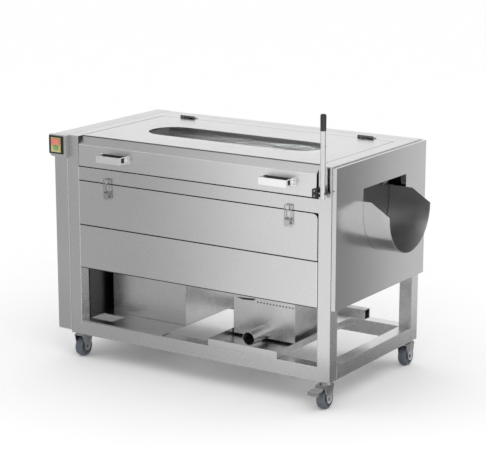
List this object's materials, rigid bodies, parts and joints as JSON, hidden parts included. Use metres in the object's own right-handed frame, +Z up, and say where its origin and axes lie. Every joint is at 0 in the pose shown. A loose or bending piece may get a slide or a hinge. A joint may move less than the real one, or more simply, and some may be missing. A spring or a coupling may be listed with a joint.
{
  "type": "vegetable washing and peeling machine",
  "caption": "Brush-roller vegetable washer and peeler on casters, with a hinged lid with a feed slot, a lever-lifted discharge gate and a half-round chute.",
  "frame": {"origin": "middle of the footprint, on the floor under the casters", "axes": "+X towards the discharge chute, -Y the front with panels and lever, +Z up"},
  "size_m": [1.478, 0.8134, 1.161],
  "materials": {
    "stainless": "brushed stainless sheet and tube",
    "dark_steel": "dark oiled steel",
    "black_plastic": "matt black",
    "wheel_grey": "blue-grey tread, satin",
    "red_plastic": "glossy red",
    "green_plastic": "glossy green",
    "bristle": "pale nylon bristle",
    "drive_paint": "blue-grey machine enamel"
  },
  "bodies": {
    "frame": {"front_frame": "stainless", "rear_frame": "stainless", "left_bottom_rail": "stainless", "right_bottom_rail": "stainless", "top_rim": "stainless", "gear_cover": "stainless", "side_cover": "stainless", "rear_cover": "stainless", "lower_panel": "stainless", "left_end_plate": "stainless", "right_end_plate": "stainless", "wash_trough": "stainless", "drive_motor": "drive_paint", "gear_reducer": "drive_paint", "roller_chain": "dark_steel", "motor_chain": "dark_steel", "spray_pipe": "stainless", "lid_hinge_left": "dark_steel", "lid_hinge_right": "dark_steel", "control_box": "stainless", "switch_plate": "black_plastic", "discharge_chute": "stainless", "lever_block": "black_plastic", "motor_cover": "stainless", "motor_shelf": "stainless", "sump_box": "stainless"},
    "lid": {"lid": "stainless", "lid_handle_left": "stainless", "lid_handle_right": "stainless"},
    "brush_1": {"brush_roller_1": "bristle"},
    "brush_2": {"brush_roller_2": "bristle"},
    "brush_3": {"brush_roller_3": "bristle"},
    "brush_4": {"brush_roller_4": "bristle"},
    "brush_5": {"brush_roller_5": "bristle"},
    "brush_6": {"brush_roller_6": "bristle"},
    "brush_7": {"brush_roller_7": "bristle"},
    "brush_8": {"brush_roller_8": "bristle"},
    "brush_9": {"brush_roller_9": "bristle"},
    "drive": {"drive_sprocket": "dark_steel"},
    "access_panel": {"access_panel": "stainless"},
    "latch_lever_left": {"latch_lever_left": "stainless"},
    "latch_lever_right": {"latch_lever_right": "stainless"},
    "latch_bail_left": {"latch_bail_left": "stainless"},
    "latch_bail_right": {"latch_bail_right": "stainless"},
    "stop_button": {"stop_button": "red_plastic"},
    "start_button": {"start_button": "green_plastic"},
    "gate": {"discharge_gate": "stainless"},
    "lever": {"gate_lever": "stainless", "lever_grip": "black_plastic"},
    "tray": {"drip_tray": "stainless"},
    "fork_front_left": {"caster_fork_front_left": "stainless"},
    "fork_front_right": {"caster_fork_front_right": "stainless"},
    "fork_rear_left": {"caster_fork_rear_left": "stainless"},
    "fork_rear_right": {"caster_fork_rear_right": "stainless"},
    "wheel_front_left": {"caster_wheel_front_left": "wheel_grey"},
    "wheel_front_right": {"caster_wheel_front_right": "wheel_grey"},
    "wheel_rear_left": {"caster_wheel_rear_left": "wheel_grey"},
    "wheel_rear_right": {"caster_wheel_rear_right": "wheel_grey"},
    "pedal_front_right": {"brake_pedal_front_right": "stainless"},
    "pedal_rear_left": {"brake_pedal_rear_left": "stainless"}
  },
  "joints": [
    {"name": "lid_hinge", "type": "hinge", "parent": "frame", "child": "lid", "pos_m": [-0.0315, 0.26825, 0.9633], "axis": [-1, 0, 0], "range_deg": [0, 100]},
    {"name": "brush_1_spin", "type": "hinge", "parent": "frame", "child": "brush_1", "pos_m": [0, -0.21463, 0.72906], "axis": [1, 0, 0], "continuous": true},
    {"name": "brush_2_spin", "type": "hinge", "parent": "frame", "child": "brush_2", "pos_m": [0, -0.18624, 0.64639], "axis": [1, 0, 0], "continuous": true},
    {"name": "brush_3_spin", "type": "hinge", "parent": "frame", "child": "brush_3", "pos_m": [0, -0.13094, 0.5787], "axis": [1, 0, 0], "continuous": true},
    {"name": "brush_4_spin", "type": "hinge", "parent": "frame", "child": "brush_4", "pos_m": [0, -0.05559, 0.5344], "axis": [1, 0, 0], "continuous": true},
    {"name": "brush_5_spin", "type": "hinge", "parent": "frame", "child": "brush_5", "pos_m": [0, 0.03045, 0.519], "axis": [1, 0, 0], "continuous": true},
    {"name": "brush_6_spin", "type": "hinge", "parent": "frame", "child": "brush_6", "pos_m": [0, 0.11649, 0.5344], "axis": [1, 0, 0], "continuous": true},
    {"name": "brush_7_spin", "type": "hinge", "parent": "frame", "child": "brush_7", "pos_m": [0, 0.19184, 0.5787], "axis": [1, 0, 0], "continuous": true},
    {"name": "brush_8_spin", "type": "hinge", "parent": "frame", "child": "brush_8", "pos_m": [0, 0.24714, 0.64639], "axis": [1, 0, 0], "continuous": true},
    {"name": "brush_9_spin", "type": "hinge", "parent": "frame", "child": "brush_9", "pos_m": [0, 0.27553, 0.72906], "axis": [1, 0, 0], "continuous": true},
    {"name": "drive_spin", "type": "hinge", "parent": "frame", "child": "drive", "pos_m": [-0.59, -0.08175, 0.277], "axis": [1, 0, 0], "continuous": true},
    {"name": "access_hinge", "type": "hinge", "parent": "frame", "child": "access_panel", "pos_m": [-0.0293, -0.32575, 0.593], "axis": [1, 0, 0], "range_deg": [0, 90]},
    {"name": "latch_left", "type": "hinge", "parent": "access_panel", "child": "latch_lever_left", "pos_m": [-0.454, -0.34075, 0.739], "axis": [-1, 0, 0], "range_deg": [0, 150]},
    {"name": "latch_right", "type": "hinge", "parent": "access_panel", "child": "latch_lever_right", "pos_m": [0.418, -0.34075, 0.739], "axis": [-1, 0, 0], "range_deg": [0, 150]},
    {"name": "bail_left", "type": "hinge", "parent": "latch_lever_left", "child": "latch_bail_left", "pos_m": [-0.454, -0.34075, 0.7305], "axis": [1, 0, 0], "range_deg": [0, 150]},
    {"name": "bail_right", "type": "hinge", "parent": "latch_lever_right", "child": "latch_bail_right", "pos_m": [0.418, -0.34075, 0.7305], "axis": [1, 0, 0], "range_deg": [0, 150]},
    {"name": "stop_press", "type": "slide", "parent": "frame", "child": "stop_button", "axis": [0, 1, 0], "range_m": [0, 0.003], "stiffness_N_per_m": 400},
    {"name": "start_press", "type": "slide", "parent": "frame", "child": "start_button", "axis": [0, 1, 0], "range_m": [0, 0.003], "stiffness_N_per_m": 300},
    {"name": "lever_swing", "type": "hinge", "parent": "frame", "child": "lever", "pos_m": [0.5815, -0.35675, 0.8585], "axis": [1, 0, 0], "range_deg": [0, 90]},
    {"name": "gate_lift", "type": "slide", "parent": "frame", "child": "gate", "axis": [0, 0, 1], "range_m": [0, 0.09]},
    {"name": "tray_slide", "type": "slide", "parent": "frame", "child": "tray", "axis": [0, -1, 0], "range_m": [0, 0.195]},
    {"name": "swivel_front_left", "type": "hinge", "parent": "frame", "child": "fork_front_left", "pos_m": [-0.633, -0.30375, 0.1067], "axis": [0, 0, 1], "continuous": true},
    {"name": "swivel_front_right", "type": "hinge", "parent": "frame", "child": "fork_front_right", "pos_m": [0.5775, -0.30375, 0.1067], "axis": [0, 0, 1], "continuous": true},
    {"name": "swivel_rear_left", "type": "hinge", "parent": "frame", "child": "fork_rear_left", "pos_m": [-0.633, 0.36025, 0.1067], "axis": [0, 0, 1], "continuous": true},
    {"name": "swivel_rear_right", "type": "hinge", "parent": "frame", "child": "fork_rear_right", "pos_m": [0.5775, 0.36025, 0.1067], "axis": [0, 0, 1], "continuous": true},
    {"name": "roll_front_left", "type": "hinge", "parent": "fork_front_left", "child": "wheel_front_left", "pos_m": [-0.633, -0.28975, 0.04], "axis": [1, 0, 0], "continuous": true},
    {"name": "roll_front_right", "type": "hinge", "parent": "fork_front_right", "child": "wheel_front_right", "pos_m": [0.5775, -0.31775, 0.04], "axis": [1, 0, 0], "continuous": true},
    {"name": "roll_rear_left", "type": "hinge", "parent": "fork_rear_left", "child": "wheel_rear_left", "pos_m": [-0.633, 0.34625, 0.04], "axis": [1, 0, 0], "continuous": true},
    {"name": "roll_rear_right", "type": "hinge", "parent": "fork_rear_right", "child": "wheel_rear_right", "pos_m": [0.5775, 0.34625, 0.04], "axis": [1, 0, 0], "continuous": true},
    {"name": "brake_front_right", "type": "hinge", "parent": "fork_front_right", "child": "pedal_front_right", "pos_m": [0.5775, -0.34475, 0.0902], "axis": [1, 0, 0], "range_deg": [0, 12]},
    {"name": "brake_rear_left", "type": "hinge", "parent": "fork_rear_left", "child": "pedal_rear_left", "pos_m": [-0.633, 0.31925, 0.0902], "axis": [1, 0, 0], "range_deg": [0, 12]}
  ],
  "couplings": [
    {"joint": "brush_1_spin", "follows": "brush_5_spin", "ratio": 1},
    {"joint": "brush_2_spin", "follows": "brush_5_spin", "ratio": 1},
    {"joint": "brush_3_spin", "follows": "brush_5_spin", "ratio": 1},
    {"joint": "brush_4_spin", "follows": "brush_5_spin", "ratio": 1},
    {"joint": "brush_6_spin", "follows": "brush_5_spin", "ratio": 1},
    {"joint": "brush_7_spin", "follows": "brush_5_spin", "ratio": 1},
    {"joint": "brush_8_spin", "follows": "brush_5_spin", "ratio": 1},
    {"joint": "brush_9_spin", "follows": "brush_5_spin", "ratio": 1},
    {"joint": "drive_spin", "follows": "brush_5_spin", "ratio": 1.5},
    {"joint": "gate_lift", "follows": "lever_swing", "m_per_rad": 0.0572},
    {"joint": "bail_left", "follows": "latch_left", "ratio": 1},
    {"joint": "bail_right", "follows": "latch_right", "ratio": 1}
  ]
}
